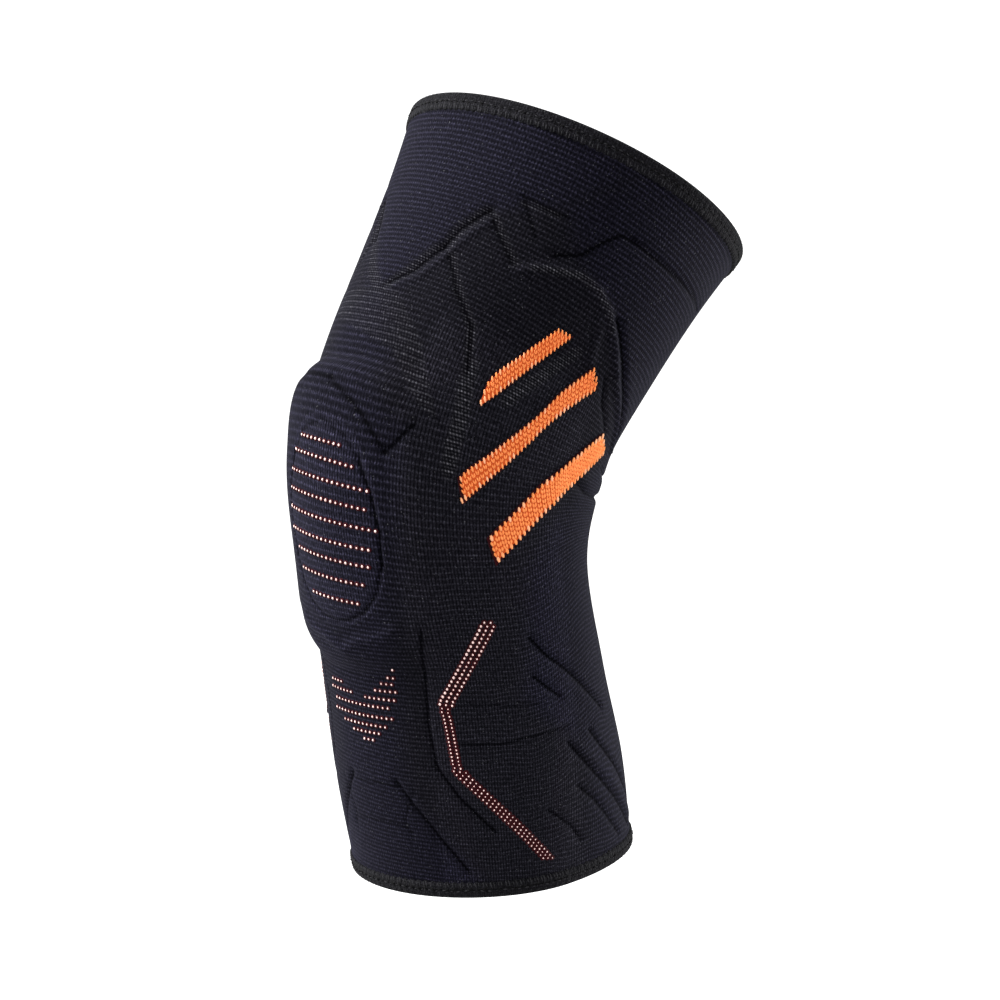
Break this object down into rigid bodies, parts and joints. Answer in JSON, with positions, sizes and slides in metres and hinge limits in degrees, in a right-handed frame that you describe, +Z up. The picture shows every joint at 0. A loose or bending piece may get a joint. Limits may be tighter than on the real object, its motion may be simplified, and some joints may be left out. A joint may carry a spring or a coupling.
{
  "type": "knee sleeve",
  "caption": "Seamless knitted knee sleeve bent as worn, dark navy with orange side bars, a raised padded shield over the kneecap and overlocked hems, hollow from end to end",
  "frame": {"origin": "on the sleeve's centreline at the middle of the knee, where the mount knee_seat is", "axes": "+Z up along the shin towards the thigh, -Y the way the kneecap faces, +X to the side, the same on both sides"},
  "size_m": [0.1374, 0.1945, 0.3044],
  "materials": {
    "navy_knit": "dark navy ribbed elastic knit, matte",
    "charcoal_hem": "charcoal elastic hem, folded and overlocked, matte",
    "orange_knit": "bright orange knit accent yarn, matte"
  },
  "bodies": {
    "root": {"knit_sleeve": "navy_knit", "kneecap_pad": "navy_knit", "upper_hem_band": "charcoal_hem", "lower_hem_band": "charcoal_hem", "side_bar_upper_right": "orange_knit", "side_bar_middle_right": "orange_knit", "side_bar_lower_right": "orange_knit", "side_bar_upper_left": "orange_knit", "side_bar_middle_left": "orange_knit", "side_bar_lower_left": "orange_knit"}
  },
  "joints": []
}
